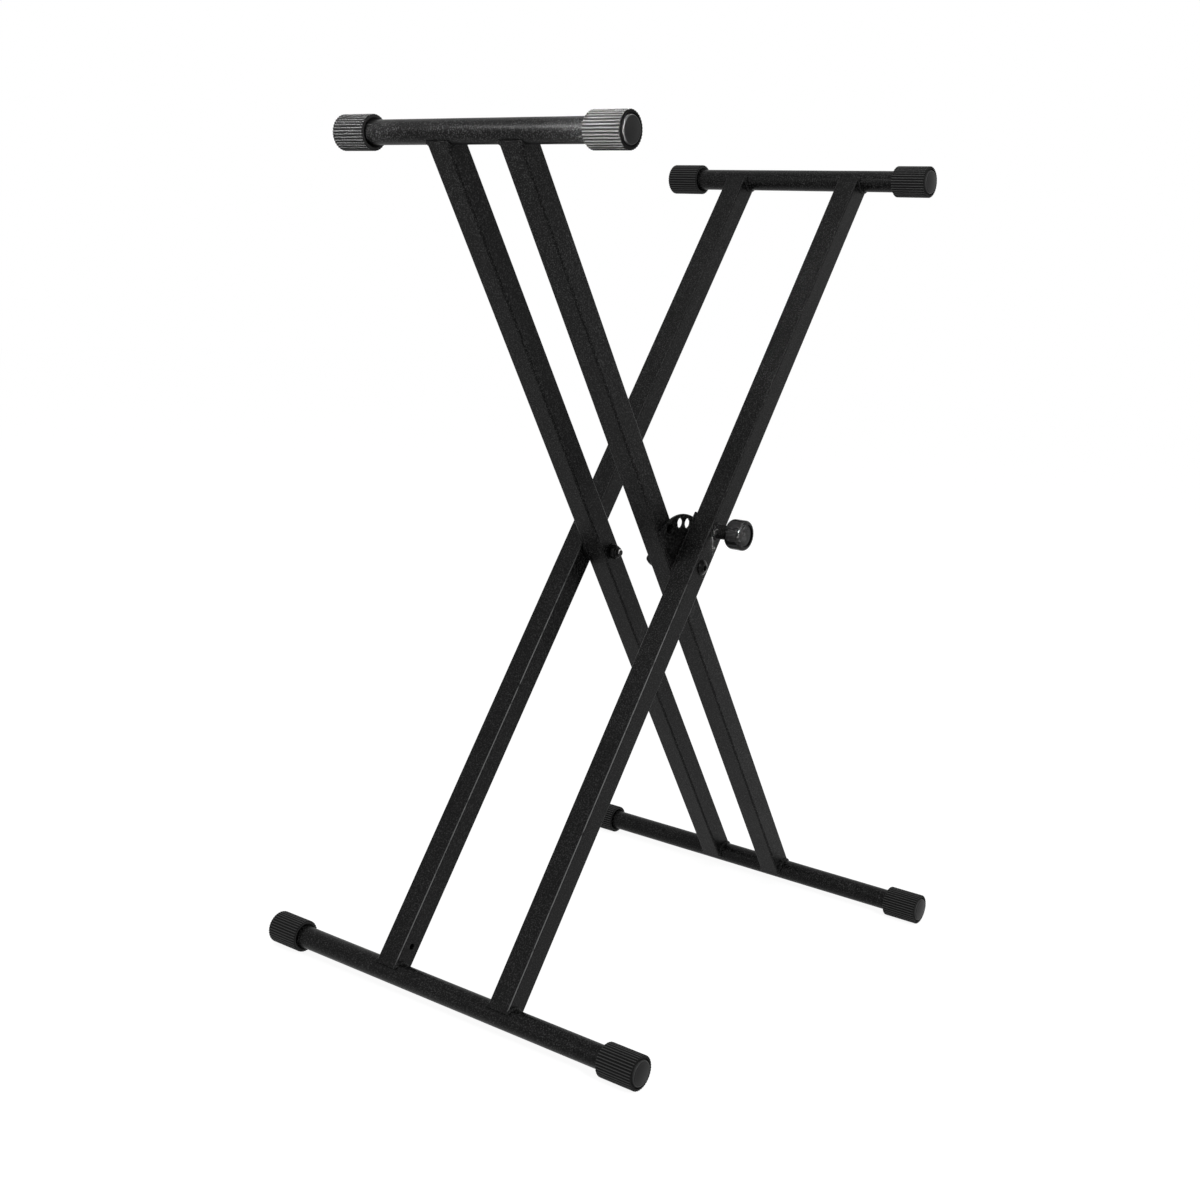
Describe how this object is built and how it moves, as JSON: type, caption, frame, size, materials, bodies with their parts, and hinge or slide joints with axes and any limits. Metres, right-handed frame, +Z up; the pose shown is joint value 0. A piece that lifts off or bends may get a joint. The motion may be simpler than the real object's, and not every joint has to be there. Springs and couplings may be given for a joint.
{
  "type": "keyboard stand",
  "caption": "Folding X-shaped keyboard stand of square steel tube, with round rest bars and foot bars, ribbed rubber end caps, and a plunger knob that locks its height in a plate of holes.",
  "frame": {"origin": "on the floor, midway between the foot bars and midway between the front and rear legs, with the stand set up as in the picture", "axes": "+X the way the feet spread, from the outer frame's feet to the inner frame's feet; +Y along the bars, away from the side with the knob; +Z up"},
  "size_m": [0.5814, 0.482, 0.852],
  "materials": {
    "powder_coat": "satin black powder coat with a fine speckle",
    "cap_rubber": "matte black",
    "knob_plastic": "satin black",
    "washer_plastic": "matte black",
    "zinc_steel": "bright zinc plate",
    "black_steel": "black plated"
  },
  "bodies": {
    "outer_frame": {"outer_leg_front": "powder_coat", "outer_leg_rear": "powder_coat", "outer_top_bar": "powder_coat", "outer_foot_bar": "powder_coat", "outer_top_cap_front": "cap_rubber", "outer_top_cap_rear": "cap_rubber", "outer_foot_cap_front": "cap_rubber", "outer_foot_cap_rear": "cap_rubber", "guide_plate": "powder_coat", "plunger_sleeve": "powder_coat", "lock_spring": "zinc_steel", "pivot_bolts": "black_steel", "pivot_nuts": "black_steel", "nut_washers": "black_steel", "friction_washer": "washer_plastic", "rear_spacer": "washer_plastic"},
    "inner_frame": {"inner_leg_front": "powder_coat", "inner_leg_rear": "powder_coat", "inner_top_bar": "powder_coat", "inner_foot_bar": "powder_coat", "inner_top_cap_front": "cap_rubber", "inner_top_cap_rear": "cap_rubber", "inner_foot_cap_front": "cap_rubber", "inner_foot_cap_rear": "cap_rubber", "lock_plate": "powder_coat"},
    "lock_plunger": {"lock_pin": "zinc_steel", "lock_knob": "knob_plastic", "knob_nut": "zinc_steel", "knob_cover": "knob_plastic"}
  },
  "joints": [
    {"name": "fold", "type": "hinge", "parent": "outer_frame", "child": "inner_frame", "pos_m": [0, 0, 0.42601], "axis": [0, 1, 0], "range_deg": [-36.6, 62.1]},
    {"name": "lock_pin", "type": "slide", "parent": "outer_frame", "child": "lock_plunger", "axis": [0, 1, 0], "range_m": [0, 0.006]}
  ]
}
